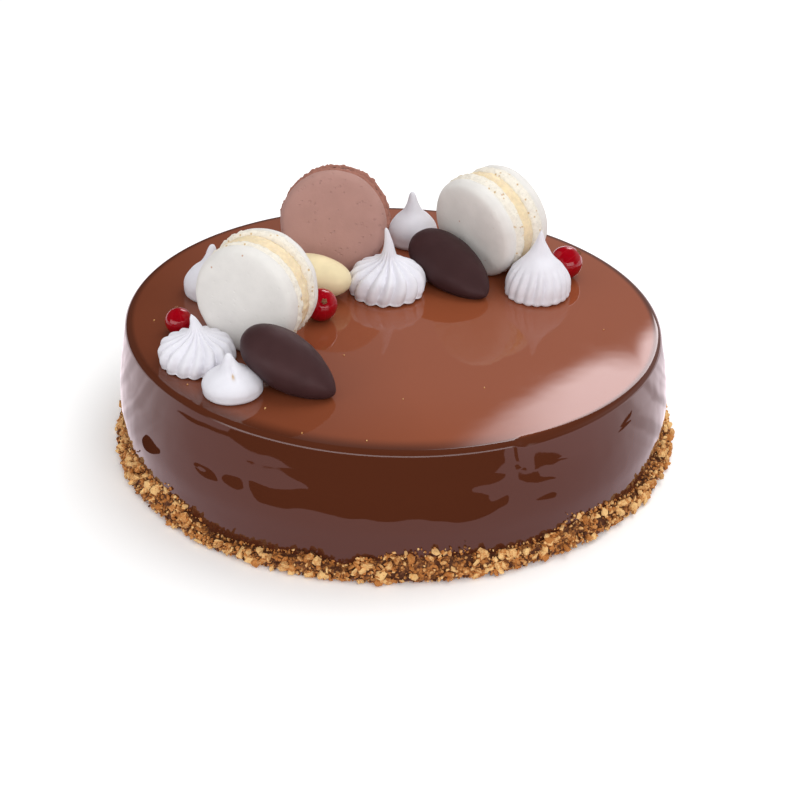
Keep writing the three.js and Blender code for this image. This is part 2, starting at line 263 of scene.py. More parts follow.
class ToppingSettings(bpy.types.PropertyGroup):
    """Meringues, almonds and berries."""

    meringue: colour("Meringue", "Colour of the meringues", (0.86, 0.85, 0.91))
    dark: colour("Dark chocolate", "Colour of the dark almonds", (0.058, 0.0255, 0.0265))
    ivory: colour("White chocolate", "Colour of the white almond", (0.97, 0.82, 0.52))
    red: colour("Berry", "Colour of the berries", (0.34, 0.002, 0.008))


# ---------------------------------------------------------------- mesh helpers
def clamp(value):
    """The value, kept between 0 and 1."""
    return min(1.0, max(0.0, value))


def smooth_line(points, per_span):
    """The points joined by a smooth curve through all of them, as a finer list."""
    padded = [points[0], *points, points[-1]]
    line = []
    for before, start, end, after in zip(padded, padded[1:], padded[2:], padded[3:]):
        for step in range(per_span):
            t = step / per_span
            line.append(tuple(
                0.5 * (2 * b + (c - a) * t + (2 * a - 5 * b + 4 * c - d) * t * t
                       + (3 * b - a - 3 * c + d) * t ** 3)
                for a, b, c, d in zip(before, start, end, after)
            ))
    line.append(tuple(float(value) for value in points[-1]))
    return line


def spun(outline, steps, closed=False):
    """An outline of (radius, height) turned about Z. A closed one joins its last point to its first."""
    mesh = bmesh.new()
    line = [mesh.verts.new((max(radius, 0.0), 0.0, height)) for radius, height in outline]
    ends = line[1:] + (line[:1] if closed else [])
    edges = [mesh.edges.new(pair) for pair in zip(line, ends)]
    bmesh.ops.spin(
        mesh, geom=line + edges, cent=(0, 0, 0), axis=(0, 0, 1), angle=2 * math.pi, steps=steps,
        use_merge=True,
    )
    return mesh


def turned(outline, steps):
    """A solid of revolution about Z, from an outline of (radius, height) that starts and ends on Z."""
    mesh = spun(outline, steps)
    bmesh.ops.remove_doubles(mesh, verts=mesh.verts, dist=1e-4)
    bmesh.ops.dissolve_degenerate(mesh, edges=mesh.edges, dist=1e-5)
    bmesh.ops.recalc_face_normals(mesh, faces=mesh.faces)
    return mesh


def ripple(place, size, seed, octaves=2):
    """Smooth noise from about -1 to 1 with bumps of the given size, different for each seed."""
    return noise.fractal(
        Vector(place) / size + Vector((seed * 3.7, seed * 1.9, -seed * 2.3)), 0.6, 2.1, octaves,
        noise_basis="PERLIN_NEW",
    )


def rough_up(mesh, amount, size, seed):
    """Moves every point along its normal by smooth noise, in millimetres."""
    mesh.normal_update()
    moves = [(vert, vert.normal * amount * ripple(vert.co, size, seed)) for vert in mesh.verts]
    for vert, move in moves:
        vert.co += move


def placed(spec, rise):
    """Where a topping's middle goes."""
    return Matrix.Translation((spec["x"], spec["y"], top_height(spec["x"], spec["y"]) + rise))


def linked(name, data):
    """A new object in the scene."""
    made = bpy.data.objects.new(name, data)
    bpy.context.scene.collection.objects.link(made)
    return made


def add_piece(data, name, material, replaced=None):
    """Makes a mesh in metres a piece of the cake."""
    piece = linked(name, data)
    data.materials.append(material)
    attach(piece, "root")
    if replaced:
        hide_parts(replaced)


def mesh_piece(mesh, name, material, replaced=None):
    """Turns a bmesh in millimetres into a smooth piece of the cake."""
    bmesh.ops.scale(mesh, vec=(MM, MM, MM), verts=mesh.verts)
    for face in mesh.faces:
        face.smooth = True
    data = bpy.data.meshes.new(name)
    mesh.to_mesh(data)
    mesh.free()
    add_piece(data, name, material, replaced)


def topping_piece(mesh, place, node, material, slot):
    """Puts a topping in the node's place, and presses what would sink into the glaze up above it."""
    bmesh.ops.transform(mesh, matrix=place, verts=mesh.verts)
    for vert in mesh.verts:
        vert.co.z = max(vert.co.z, top_height(vert.co.x, vert.co.y) + GLAZE_GAP)
    mesh_piece(mesh, f"{node}_look", material, node)


# ---------------------------------------------------------------- material helpers
def darker(tint, share):
    """A colour darkened to a share of itself."""
    return tuple(share * part for part in tint)


class Nodes:
    """Short calls for the nodes of a material or of the world."""

    def __init__(self, tree):
        self.tree = tree

    def node(self, kind, **settings):
        made = self.tree.nodes.new(kind)
        for key, value in settings.items():
            setattr(made, key, value)
        return made

    def fill(self, socket, value):
        """Feeds a socket with another node's output or with a constant."""
        if isinstance(value, bpy.types.NodeSocket):
            self.tree.links.new(value, socket)
        elif socket.type == "RGBA":
            socket.default_value = (*value, 1.0)
        else:
            socket.default_value = value

    def filled(self, kind, values, **settings):
        """A node of this kind with some inputs filled, each named by its label or its number."""
        made = self.node(kind, **settings)
        for key, value in values.items():
            self.fill(made.inputs[key], value)
        return made

    def band(self, source, low, high, start=0.0, end=1.0, steps="SMOOTHSTEP"):
        """start where source is low, end where it is high, and a soft step between."""
        limits = {"Value": source, "From Min": low, "From Max": high, "To Min": start, "To Max": end}
        return self.filled("ShaderNodeMapRange", limits, interpolation_type=steps).outputs["Result"]

    def maths(self, operation, first, second=0.0):
        return self.filled("ShaderNodeMath", {0: first, 1: second}, operation=operation).outputs["Value"]

    def product(self, *factors):
        whole = factors[0]
        for factor in factors[1:]:
            whole = self.maths("MULTIPLY", whole, factor)
        return whole

    def split(self, vector):
        made = self.filled("ShaderNodeSeparateXYZ", {"Vector": vector})
        return made.outputs["X"], made.outputs["Y"], made.outputs["Z"]

    def from_axis(self, x, y):
        """Distance from the Z axis."""
        return self.maths("SQRT", self.maths("ADD", self.product(x, x), self.product(y, y)))

    def mixed(self, share, first, second):
        """A colour between two, each a colour or another node's output."""
        return self.filled("ShaderNodeMix", {0: share, 6: first, 7: second}, data_type="RGBA").outputs[2]


class Shader(Nodes):
    """A material with a Principled shader."""

    def __init__(self, name):
        self.material = bpy.data.materials.new(name)
        self.material.use_nodes = True
        super().__init__(self.material.node_tree)
        self.principled = self.tree.nodes["Principled BSDF"]
        self.object_place = self.node("ShaderNodeTexCoord").outputs["Object"]

    def set(self, **values):
        """Fills the Principled shader's inputs, with _ for each space in their labels."""
        for key, value in values.items():
            self.fill(self.principled.inputs[key.replace("_", " ")], value)

    def noise(self, size, detail=3.0, roughness=0.55):
        """Noise with features of about this size in metres, from 0 to 1."""
        values = {"Vector": self.object_place, "Scale": 1.0 / size, "Detail": detail, "Roughness": roughness}
        return self.filled("ShaderNodeTexNoise", values).outputs["Fac"]

    def flecks(self, size, core, edge, rare, peak=1.0):
        """Round spots, peak inside core and 0 beyond edge, in some of the cells of this size in metres."""
        made = self.filled("ShaderNodeTexVoronoi", {"Vector": self.object_place, "Scale": 1.0 / size})
        spots = self.band(made.outputs["Distance"], core, edge, peak, 0.0)
        return self.product(spots, self.band(made.outputs["Color"], *rare))

    def chosen(self, share, first, second):
        """The first shader where share is 0, and the second where it is 1."""
        return self.filled("ShaderNodeMixShader", {0: share, 1: first, 2: second}).outputs[0]

    def clouded(self, source, tint, share, low=0.3, high=0.7):
        """The tint, darkened to a share of itself where source is low."""
        return self.mixed(self.band(source, low, high), darker(tint, share), tint)

    def attribute(self, name):
        return self.node("ShaderNodeAttribute", attribute_name=name).outputs["Fac"]

    def bump(self, heights, distance, strength):
        """Raises the surface by heights times distance, in metres, as strongly as strength says."""
        values = {"Height": heights, "Distance": distance, "Strength": strength}
        self.set(Normal=self.filled("ShaderNodeBump", values).outputs["Normal"])


# ---------------------------------------------------------------- the glazed cake
def glaze_material(settings):
    """Poured milk chocolate glaze, a wet mirror: its own colour on the top, with painted shade darkening it
    towards the left edge, in a band inside the rim and down the side."""
    shader = Shader("milk_chocolate_glaze")
    x, y, _ = shader.split(shader.object_place)
    out = shader.from_axis(x, y)

    def near_rim(start, end, low=0.0, high=1.0):
        """low inside start and high outside end, both in millimetres inwards from the rim."""
        return shader.band(out, (RIM_RADIUS - start) * MM, (RIM_RADIUS - end) * MM, low, high)

    # Painted shade on the top: darker towards the left, from the glaze's own colour to the thin colour.
    across = shader.maths("ADD", shader.product(x, PAINTED_LIGHT_TOWARDS[0]), shader.product(y, PAINTED_LIGHT_TOWARDS[1]))
    drained = shader.maths("ADD", across, shader.product(shader.noise(0.05), 0.03))
    thickness = shader.band(drained, PAINTED_SHADE_DARKEST, PAINTED_SHADE_GONE, steps="LINEAR")
    top = shader.mixed(thickness, settings.thin, settings.brown)
    # Painted shade at the edge: the side colour covers the side, a band just inside the rim and a wider one
    # at the front left.
    painted_shade_front_left = shader.product(shader.band(y, -0.07, -0.02, 1.0, 0.0), shader.band(x, 0.0, 0.06, 1.0, 0.0))
    edge = shader.maths("MAXIMUM", near_rim(4.0, 2.0), shader.product(near_rim(9.0, 1.8), painted_shade_front_left))
    shader.set(
        Base_Color=shader.mixed(edge, top, settings.side),
        Specular_IOR_Level=near_rim(2.2, 1.6, TOP_SHEEN, SIDE_SHEEN),
        Roughness=shader.band(shader.noise(0.012, detail=4.0), 0.3, 0.75, 0.02, 0.04), IOR=1.5,
    )
    shader.bump(shader.noise(0.02, detail=2.0), 0.0001, 0.12)
    return shader.material


def side_and_rim(rim_round, steps):
    """The outline of the side and the rounded rim, as (radius, height) from the floor to the flat top."""
    turns = (RIM_START + (math.pi / 2 - RIM_START) * step / steps for step in range(steps + 1))
    return smooth_line(SIDE_OUTLINE, SIDE_STEPS) + [
        (RIM_RADIUS - rim_round * (1 - math.cos(turn)), CAKE_HEIGHT - rim_round * (1 - math.sin(turn)))
        for turn in turns
    ]


def rim_outline():
    """The whole outline of the glazed body, from the middle of its base to the middle of its top."""
    flat = RIM_RADIUS - RIM_ROUND
    top = [(radius, CAKE_HEIGHT) for radius in (flat - 0.2, flat - 1.2, 87, 78, 68, 56, 42, 28, 12, 0)]
    base = [(0, 0), (60, 0)]
    return base + side_and_rim(RIM_ROUND, RIM_STEPS) + top


def side_runs(angle, height):
    """How far the glaze's sags and runs stand out at a place on the side, from about -1 to 1."""
    x, y = RIM_RADIUS * math.cos(angle), RIM_RADIUS * math.sin(angle)
    broad = ripple((x, y, 1.6 * height), 26, 5)
    fine = ripple((x, y, 1.4 * height), 9, 6)
    runs = ripple((x, y, 0.3 * height), 5, 7)
    edge_on = abs(math.cos(angle)) ** 3
    return 0.3 * broad + 0.16 * fine + (0.04 + 0.3 * edge_on) * runs


def rim_roundness(angle):
    """Radius of the rounded rim at an angle, in millimetres."""
    azimuth = math.degrees(angle) + 90
    rise = clamp((azimuth - FOLD["start"]) / (FOLD["full"] - FOLD["start"]))
    fall = clamp((FOLD["end"] - azimuth) / (FOLD["end"] - FOLD["full"]))
    return RIM_ROUND + FOLD["extra"] * rise * fall


def glazed_body(settings):
    """The body of the cake: a tilted top, a rounder stretch of rim, and sags and runs down the side."""
    mesh = turned(rim_outline(), 360)
    rim_low = CAKE_HEIGHT - RIM_ROUND
    wave = settings.wave / MM
    for vert in mesh.verts:
        x, y, z = vert.co
        radius = math.hypot(x, y)
        share = z / CAKE_HEIGHT
        angle = math.atan2(y, x)
        out = 0.0
        if share > 0.5 and radius > RIM_RADIUS - RIM_ROUND - 2:
            grown = rim_roundness(angle) / RIM_ROUND - 1
            out = grown * min(0.0, max(radius - RIM_RADIUS, -RIM_ROUND))
            lowered = RIM_ROUND * clamp((z - FOLD_LOW) / (rim_low - FOLD_LOW))
            z += grown * max(0.0, z - rim_low) - grown * lowered
        if radius > RIM_RADIUS - 0.2 and z > 0:
            out += wave * min(1.0, (CAKE_HEIGHT - z) / 9) * side_runs(angle, z)
        x += out * math.cos(angle)
        y += out * math.sin(angle)
        z += share * (top_height(x, y) - CAKE_HEIGHT)
        if radius < RIM_RADIUS - 2 and share > 0.9:
            z += 0.015 * ripple((x, y, 0), 45, 8)
        vert.co = (x, y, z)
    return mesh


class OBJECT_OT_cake_glaze(bpy.types.Operator):
    """Make the glazed body of the cake"""

    bl_idname = "object.cake_glaze"
    bl_label = "Glazed cake"

    def execute(self, context):
        settings = context.scene.cake_glaze
        mesh_piece(glazed_body(settings), "glazed_cake", glaze_material(settings), "cake")
        return {"FINISHED"}


# ---------------------------------------------------------------- the crumb border
def crumb_material(settings):
    """Baked crumbs, each with its own shade from the shade attribute, toasted and grainy; the bank's low
    shade is painted shade in the gaps between the loose crumbs.
    """
    shader = Shader("baked_crumb")
    grain = shader.noise(0.0007)
    toasted = shader.maths("ADD", shader.attribute("shade"), shader.band(grain, 0.25, 0.75, -0.16, 0.16))
    # The dark colour serves the darkest crumbs and the painted shade of the bank between them.
    low = shader.mixed(shader.band(toasted, 0.05, 0.5), settings.dark_crumb_and_gap_shade, settings.tan)
    whole = shader.mixed(shader.band(toasted, 0.55, 1.0), low, settings.pale)
    shader.set(Base_Color=whole, Roughness=0.72, IOR=1.45)
    shader.bump(grain, 0.0003, 0.8)
    return shader.material


def crumb_height(angle):
    """How high the crumbs reach at an angle, in millimetres."""
    first_azimuth, first_height = CRUMB_LINE[0]
    azimuth = first_azimuth + (math.degrees(angle) - first_azimuth) % 360
    around = [*CRUMB_LINE, (first_azimuth + 360, first_height)]
    for (low, start), (high, end) in zip(around, around[1:]):
        if azimuth <= high:
            share = (azimuth - low) / (high - low)
            return start + (end - start) * (3 - 2 * share) * share * share


def outline_radius(outline, height):
    """Radius of an outline of (radius, height) at a height."""
    for (low_radius, low), (high_radius, high) in zip(outline, outline[1:]):
        if low <= height <= high:
            return low_radius + (high_radius - low_radius) * (height - low) / (high - low)
    return outline[0][0] if height < outline[0][1] else outline[-1][0]


def crumb_bank():
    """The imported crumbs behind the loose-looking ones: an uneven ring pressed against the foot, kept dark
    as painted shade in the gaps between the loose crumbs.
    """
    inner = BELLY_RADIUS - BANK_DEPTH
    face = [
        (outline_radius(BANK_OUTLINE, 9.4 * row / BANK_ROWS) - 0.9, BANK_LOW + 9.0 * row / BANK_ROWS)
        for row in range(BANK_ROWS + 1)
    ]
    mesh = spun([(inner, BANK_LOW), *face, (inner, BANK_HIGH)], 640, closed=True)
    bmesh.ops.recalc_face_normals(mesh, faces=mesh.faces)
    shade = mesh.verts.layers.float.new("shade")
    for vert in mesh.verts:
        x, y, z = vert.co
        angle = math.atan2(y, x)
        radius = math.hypot(x, y)
        reach = crumb_height(angle) * BANK_REACH
        lump = ripple((x, y, z), 2.4, 12, 3)
        z *= reach / BANK_HIGH
        if radius > inner + 0.5:
            drop = max(0.0, z / reach - 0.75) * 4
            face_radius = outline_radius(BANK_OUTLINE, z) - 0.5
            radius = face_radius * (1 - drop) + SIDE_OUTLINE[0][0] * drop + 0.7 * lump
        # Low shade values make the bank dark: painted shade in the gaps between the loose crumbs.
        vert[shade] = 0.16 + 0.4 * lump
        vert.co = (radius * math.cos(angle), radius * math.sin(angle), max(z, 0.1))
    return mesh


def crumb_shapes(kind):
    """Points and triangles of a few jagged crumbs about 1 across, which are repeated round the foot."""
    draw = random.Random(kind["shape_seed"])
    shapes = []
    for _ in range(kind["shapes"]):
        mesh = bmesh.new()
        bmesh.ops.create_icosphere(mesh, subdivisions=1, radius=0.5)
        for vert in mesh.verts:
            vert.co *= draw.uniform(0.62, 1.2)
            vert.co.z *= draw.uniform(*kind["flat"])
        bmesh.ops.recalc_face_normals(mesh, faces=mesh.faces)
        shapes.append((
            np.array([vert.co for vert in mesh.verts]),
            np.array([[vert.index for vert in face.verts] for face in mesh.faces]),
        ))
        mesh.free()
    return shapes


def joined_crumbs(name, shapes, crumbs, material):
    """One piece of every crumb, each given as (shape, place, turn, size, shade)."""
    points, triangles, shades = [], [], []
    start = 0
    for index, place, turn, size, shade in crumbs:
        corners, faces = shapes[index]
        points.append((corners * size) @ np.array(turn.to_matrix()).T + np.array(place))
        triangles.append(faces + start)
        shades.append(np.full(len(corners), shade))
        start += len(corners)
    points, triangles = np.concatenate(points) * MM, np.concatenate(triangles)
    low, high = (np.array(corner) for corner in CAD_BOX)
    points[:, :2] = np.clip(points[:, :2], low[:2] + BOX_MARGIN, high[:2] - BOX_MARGIN)
    points[:, 2] = np.maximum(points[:, 2], FLOOR_MARGIN)
    data = bpy.data.meshes.new(name)
    data.from_pydata(points.tolist(), [], triangles.tolist())
    data.attributes.new("shade", "FLOAT", "POINT").data.foreach_set("value", np.concatenate(shades))
    data.update()
    add_piece(data, name, material)


def any_turn(draw):
    return Vector((draw.gauss(0, 1), draw.gauss(0, 1), draw.gauss(0, 1))).to_track_quat("Z", "Y")


def drawn_crumb(draw, kind, place, size, tone, spread):
    """A crumb at a place given as (angle, radius, height), with a drawn shape, turn, size and shade."""
    angle, out, height = place
    return (
        draw.randrange(kind["shapes"]),
        (out * math.cos(angle), out * math.sin(angle), max(height, size * kind["sunk"])),
        any_turn(draw), (size, size * draw.uniform(*kind["widths"]), size * draw.uniform(*kind["depths"])),
        clamp(draw.gauss(tone, spread)),
    )


def fine_crumbs(settings):
    """Crumbs under 2 mm, thick at the foot and thinning out up the side, and the specks on the top."""
    draw = random.Random(FINE["seed"])
    crumbs = []
    for _ in range(settings.fine_count):
        angle = draw.uniform(-math.pi, math.pi)
        share = draw.random() ** 0.85
        stray = draw.random() < 0.035
        height = crumb_height(angle) * (share + (draw.random() ** 2 * 0.45 if stray else 0))
        size = draw.uniform(0.45, 1.0) + 0.9 * draw.random() ** 3
        side = outline_radius(SIDE_OUTLINE, height)
        face = side + 0.1 if stray or share >= 0.8 else max(outline_radius(BANK_OUTLINE, height), side)
        out = face + draw.uniform(-0.25, 0.45)
        crumbs.append(drawn_crumb(draw, FINE, (angle, out, height), size, 0.46, 0.3))
    for x, y, size in SPECKS:
        place = (x, y, top_height(x, y) + 0.35 * size)
        crumbs.append((draw.randrange(FINE["shapes"]), place, any_turn(draw), (size, size, size), 0.8))
    return crumbs


def coarse_crumbs(settings):
    """Crumbs and flakes of 1.5 to 5 mm that stand out of the bank."""
    draw = random.Random(COARSE["seed"])
    crumbs = []
    for _ in range(settings.coarse_count):
        angle = draw.uniform(-math.pi, math.pi)
        height = crumb_height(angle) * draw.random() ** 1.1 * 0.92
        size = 1.4 + 3.5 * draw.random() ** 2.4
        out = outline_radius(BANK_OUTLINE, height) - 0.3 + size * draw.uniform(-0.15, 0.3)
        crumbs.append(drawn_crumb(draw, COARSE, (angle, out, height), size, 0.52 + 0.07 * size, 0.22))
    return crumbs


class OBJECT_OT_cake_crumbs(bpy.types.Operator):
    """Make the crumb border round the foot"""

    bl_idname = "object.cake_crumbs"
    bl_label = "Crumb border"

    def execute(self, context):
        settings = context.scene.cake_crumbs
        material = crumb_material(settings)
        mesh_piece(crumb_bank(), "crumb_bank", material)
        joined_crumbs("crumbs_fine", crumb_shapes(FINE), fine_crumbs(settings), material)
        joined_crumbs("crumbs_coarse", crumb_shapes(COARSE), coarse_crumbs(settings), material)
        return {"FINISHED"}


# ---------------------------------------------------------------- macarons
CREAM_FOOT = (0.93, 0.87, 0.76)
COCOA_FOOT = (0.40, 0.175, 0.13)
TOASTED_FLECK = (0.62, 0.40, 0.15)
FRECKLE = (0.55, 0.27, 0.13)


def biscuit_material(name, tint, foot_tint, speckled):
    """A matt macaron biscuit: a smooth cap with tiny pits and freckles, and a coarser, darker foot."""
    shader = Shader(name)
    cap = shader.mixed(shader.band(shader.noise(0.008, detail=4.0), 0.3, 0.75), tint, darker(tint, 0.93))
    grain = shader.noise(0.0011, detail=4.0, roughness=0.7)
    foot = shader.clouded(grain, foot_tint, 0.86, high=0.55)
    if speckled:
        foot = shader.mixed(shader.flecks(0.0015, 0.15, 0.4, (0.66, 0.7), 0.8), foot, TOASTED_FLECK)
    whole = shader.mixed(shader.attribute("foot"), cap, foot)
    freckles = shader.product(shader.flecks(0.0042, 0.05, 0.11, (0.62, 0.66)), 0.75 if speckled else 0.5)
    whole = shader.mixed(freckles, whole, FRECKLE if speckled else darker(tint, 0.5))
    shader.set(Base_Color=whole, Roughness=0.62, IOR=1.42)
    pits = shader.flecks(0.0019, 0.1, 0.3, (0.55, 0.65))
    shader.bump(shader.maths("SUBTRACT", shader.product(grain, 0.6), pits), 0.0003, 0.25 if speckled else 0.7)
    return shader.material


def filling_material(name, tint):
    """Piped filling: soft, slightly oily, torn in fine folds along the edge, with painted shade darkening the
    folds.
    """
    shader = Shader(name)
    folds_and_shade = shader.noise(0.0016, roughness=0.6)
    # Painted shade: the filling darkens to 0.88 of its tint in the low parts of its folds.
    shader.set(Base_Color=shader.clouded(folds_and_shade, tint, 0.88), Roughness=0.45, IOR=1.45, Subsurface_Weight=0.2,
               Subsurface_Radius=(0.004, 0.003, 0.0015), Subsurface_Scale=0.5)
    shader.bump(folds_and_shade, 0.0004, 0.5)
    return shader.material


def biscuit_outline(radius, foot):
    """Half of a macaron from its cut face outwards: the frilled foot, the groove over it, the domed cap."""
    top = foot + DOME_HEIGHT
    shape = (
        (radius * 0.90, 0.0), (radius * 0.965, foot * 0.12), (radius * 1.0, foot * 0.42),
        (radius * 0.99, foot * 0.75), (radius * 0.955, foot), (radius * 0.972, foot + 0.7),
        (radius * 0.972, foot + 1.6), (radius * 0.948, foot + 2.8), (radius * 0.888, top - 1.3),
        (radius * 0.775, top - 0.58), (radius * 0.58, top - 0.22), (radius * 0.3, top - 0.06), (0, top),
    )
    return [(0, 0), (radius * 0.5, 0)] + smooth_line(shape, 4)


def biscuit(spec, seed):
    """One biscuit with a smooth cap and a ruffled, torn foot."""
    radius, foot = spec["radius"], spec["foot"]
    ruffle = 0.8 if spec["cocoa"] else 0.42
    mesh = turned(biscuit_outline(radius, foot), 200)
    shade = mesh.verts.layers.float.new("foot")
    for vert in mesh.verts:
        x, y, z = vert.co
        out = math.hypot(x, y)
        angle = math.atan2(y, x)
        edge = clamp((out / radius - 0.84) / 0.1)
        in_foot = edge * clamp((foot + 0.25 - z) / 0.5)
        vert[shade] = in_foot
        frill = ripple((x, y, 1.6 * z), 2.1, seed, 3)
        bubble = ripple((x, y, z), 0.95, seed + 2)
        rim_x, rim_y = math.cos(angle) * radius, math.sin(angle) * radius
        swing = ripple((rim_x, rim_y, 0), 12, seed + 5)
        if out > 0.1:
            grown = out + in_foot * (ruffle * frill + 0.3 * bubble - 0.15) + edge * 0.25 * swing
            x, y = x * grown / out, y * grown / out
        lip = 0.35 * ripple((rim_x, rim_y, 3), 3.0, seed + 7)
        z += edge * max(0.0, 1 - abs(z - foot) / 1.5) * lip
        if z > foot + 0.5:
            z += 0.16 * ripple((x, y, 0), 9, seed + 9)
        vert.co = (x, y, z)
    return mesh


def filling_disc(spec, seed):
    """The filling between the biscuits, bulging and torn at its edge."""
    outer = spec["radius"] - FILLING_INSET
    half = spec["filling"] / 2 + 0.35
    shares = [step / 10 for step in range(11)]
    bulge = [(outer + 0.75 * math.sin(math.pi * share), half * (2 * share - 1)) for share in shares]
    mesh = turned([(0, -half), (outer * 0.6, -half)] + bulge + [(outer * 0.6, half), (0, half)], 160)
    for vert in mesh.verts:
        x, y, z = vert.co
        out = math.hypot(x, y)
        if out > outer * 0.8:
            grown = out + 0.5 * ripple((x, y, 2 * z), 3.2, seed, 3) + 0.25 * ripple((x, y, z), 11, seed + 1)
            vert.co = (x * grown / out, y * grown / out, z)
    return mesh


def macaron_place(spec):
    """From the macaron's own frame, with +Z out of its front face and +Y up along it, to the cake's."""
    stand = Matrix.Rotation(math.radians(spec["heading"] + 90), 4, "Z")
    tip = Matrix.Rotation(math.pi / 2 - math.radians(spec["pitch"]), 4, "X")
    return placed(spec, spec["rise"]) @ stand @ tip


class OBJECT_OT_cake_macarons(bpy.types.Operator):
    """Make the three macarons, each of two biscuits and a filling"""

    bl_idname = "object.cake_macarons"
    bl_label = "Macarons"

    def execute(self, context):
        settings = context.scene.cake_macarons
        biscuits = {
            False: (biscuit_material("cream_biscuit", settings.cream, CREAM_FOOT, True), "cream_biscuit"),
            True: (biscuit_material("cocoa_biscuit", settings.cocoa, COCOA_FOOT, False), "cocoa_biscuit"),
        }
        fillings = {
            False: (filling_material("vanilla_filling", settings.vanilla), "vanilla_filling"),
            True: (filling_material("ganache_filling", settings.ganache), "ganache_filling"),
        }
        for spec in MACARONS:
            name, seed, slip, half = spec["name"], spec["seed"], spec["slip"], spec["filling"] / 2
            turned_back = Matrix.Translation((0, slip, -half)) @ Matrix.Rotation(math.pi, 4, "X")
            layers = (
                ("front", biscuit(spec, seed), Matrix.Translation((0, 0, half)), biscuits),
                ("filling", filling_disc(spec, seed + 3), Matrix.Translation((0, slip / 2, 0)), fillings),
                ("back", biscuit(spec, seed + 1), turned_back, biscuits),
            )
            for layer, mesh, place, kinds in layers:
                topping_piece(mesh, macaron_place(spec) @ place, f"{name}_{layer}", *kinds[spec["cocoa"]])
        return {"FINISHED"}


# ---------------------------------------------------------------- meringues
TOASTED_BUBBLE = (0.62, 0.38, 0.12)


def meringue_material(settings):
    """Baked meringue: white, dry and fine-grained, with a faint sheen on the crests."""
    shader = Shader("meringue")
    white = shader.clouded(shader.noise(0.006), settings.meringue, 0.95)
    whole = shader.mixed(shader.attribute("toasted"), white, TOASTED_BUBBLE)
    shader.set(Base_Color=whole, Roughness=0.5, IOR=1.4, Subsurface_Weight=0.25,
               Subsurface_Radius=(0.003, 0.003, 0.003), Subsurface_Scale=0.6)
    shader.bump(shader.noise(0.0009), 0.00012, 0.35)
    return shader.material


def leaned(spec, share):
    """How far a meringue leans at a share of its height."""
    return (reach * share ** 2 for reach in spec["lean"])


def star_meringue(spec):
    """A rosette piped with a star nozzle: round pleats with creases between, drawn up to a thin point."""
    radius, height, ridges = spec["radius"], spec["height"], spec["ridges"]
    line = [(out * radius, up * height) for out, up in smooth_line(spec["outline"], 7)]
    mesh = turned(line, ridges * 14)
    mesh.normal_update()
    moved = []
    for vert in mesh.verts:
        x, y, z = vert.co
        share = z / height
        out = math.hypot(x, y)
        angle = math.atan2(y, x)
        round_x, round_y = math.cos(angle) * 9, math.sin(angle) * 9
        fade = clamp((spec["smooth_above"] - share) / 0.16 + 1)
        wobble = 0.5 * ripple((round_x, round_y, 0), 7, spec["seed"])
        crease = 1 - math.sqrt(math.cos(ridges * angle / 2 + wobble) ** 2 + 0.012)
        size = 1 + 0.35 * ripple((round_x, round_y, 5), 6, spec["seed"] + 2)
        foot = 0.45 + 0.55 * clamp(share / 0.2)
        widened = 0.12 + 0.88 * (out / radius) ** 0.8
        groove = 1.75 * spec["depth"] * radius * fade * foot * crease * size * widened
        place = vert.co - vert.normal * groove
        place *= 1 + 0.02 * ripple((x, y, z), 8, spec["seed"] + 1)
        turn = math.atan2(place.y, place.x) + math.radians(spec["twist"]) * share
        out = math.hypot(place.x, place.y)
        lean_x, lean_y = leaned(spec, share)
        lean_x += spec["bow"] * math.sin(math.pi * clamp((share - 0.4) / 0.6))
        moved.append((out * math.cos(turn) + lean_x, out * math.sin(turn) + lean_y, max(0.0, place.z)))
    for vert, place in zip(mesh.verts, moved):
        vert.co = place
    return mesh


def smooth_kiss(spec):
    """A drop piped with a round nozzle, with a pulled point."""
    radius, height = spec["radius"], spec["height"]
    line = [(out * radius, up * height) for out, up in smooth_line(DROP, 7)]
    mesh = turned(line, 128)
    toasted = mesh.verts.layers.float.new("toasted")
    turn = math.radians(BUBBLE["angle"])
    low, high = BUBBLE["low"], BUBBLE["high"]
    for vert in mesh.verts:
        x, y, z = vert.co
        share = z / height
        grown = 1 + 0.03 * ripple((x, y, z), 8, spec["seed"])
        if spec["bubble"]:
            out = math.hypot(x, y)
            aside = out * (math.atan2(y, x) - turn)
            beyond = max(0.0, low - share, share - high) * height
            dent = math.exp(-(aside ** 2 + beyond ** 2) / BUBBLE["reach"] ** 2)
            depth = BUBBLE["depth"] * dent * (1 - clamp((share - low) / (high - low)))
            grown -= (depth + 0.25 * dent) / max(out, 2.0)
            bottom = (share - low) * height
            vert[toasted] = math.exp(-(aside ** 2 + bottom ** 2) / BUBBLE["toasted"] ** 2)
        lean_x, lean_y = leaned(spec, share)
        vert.co = (x * grown + lean_x, y * grown + lean_y, z)
    return mesh


class OBJECT_OT_cake_meringues(bpy.types.Operator):
    """Make the piped stars and the smooth kisses"""

    bl_idname = "object.cake_meringues"
    bl_label = "Meringues"

    def execute(self, context):
        material = meringue_material(context.scene.cake_toppings)
        for specs, shape in ((STARS, star_meringue), (KISSES, smooth_kiss)):
            for spec in specs:
                topping_piece(shape(spec), placed(spec, 0), spec["name"], material, "meringue")
        return {"FINISHED"}


# ---------------------------------------------------------------- almonds
def almond_material(name, tint, roughness):
    """Panned chocolate: satin, with faint finger marks and the tiniest dimples."""
    shader = Shader(name)
    marks = shader.band(shader.noise(0.004), 0.3, 0.7, roughness - 0.05, roughness + 0.07)
    shader.set(Base_Color=shader.clouded(shader.noise(0.011), tint, 0.86), Roughness=marks, IOR=1.5,
               Specular_IOR_Level=0.2)
    shader.bump(shader.noise(0.0018), 0.00012, 0.3)
    return shader.material


# How quickly an almond narrows to each end, and the value that makes it its full width where it is widest.
ROUND_END = 0.45
POINTED_END = 0.62
WIDEST = ROUND_END / (ROUND_END + POINTED_END)
FULLEST = WIDEST ** ROUND_END * (1 - WIDEST) ** POINTED_END


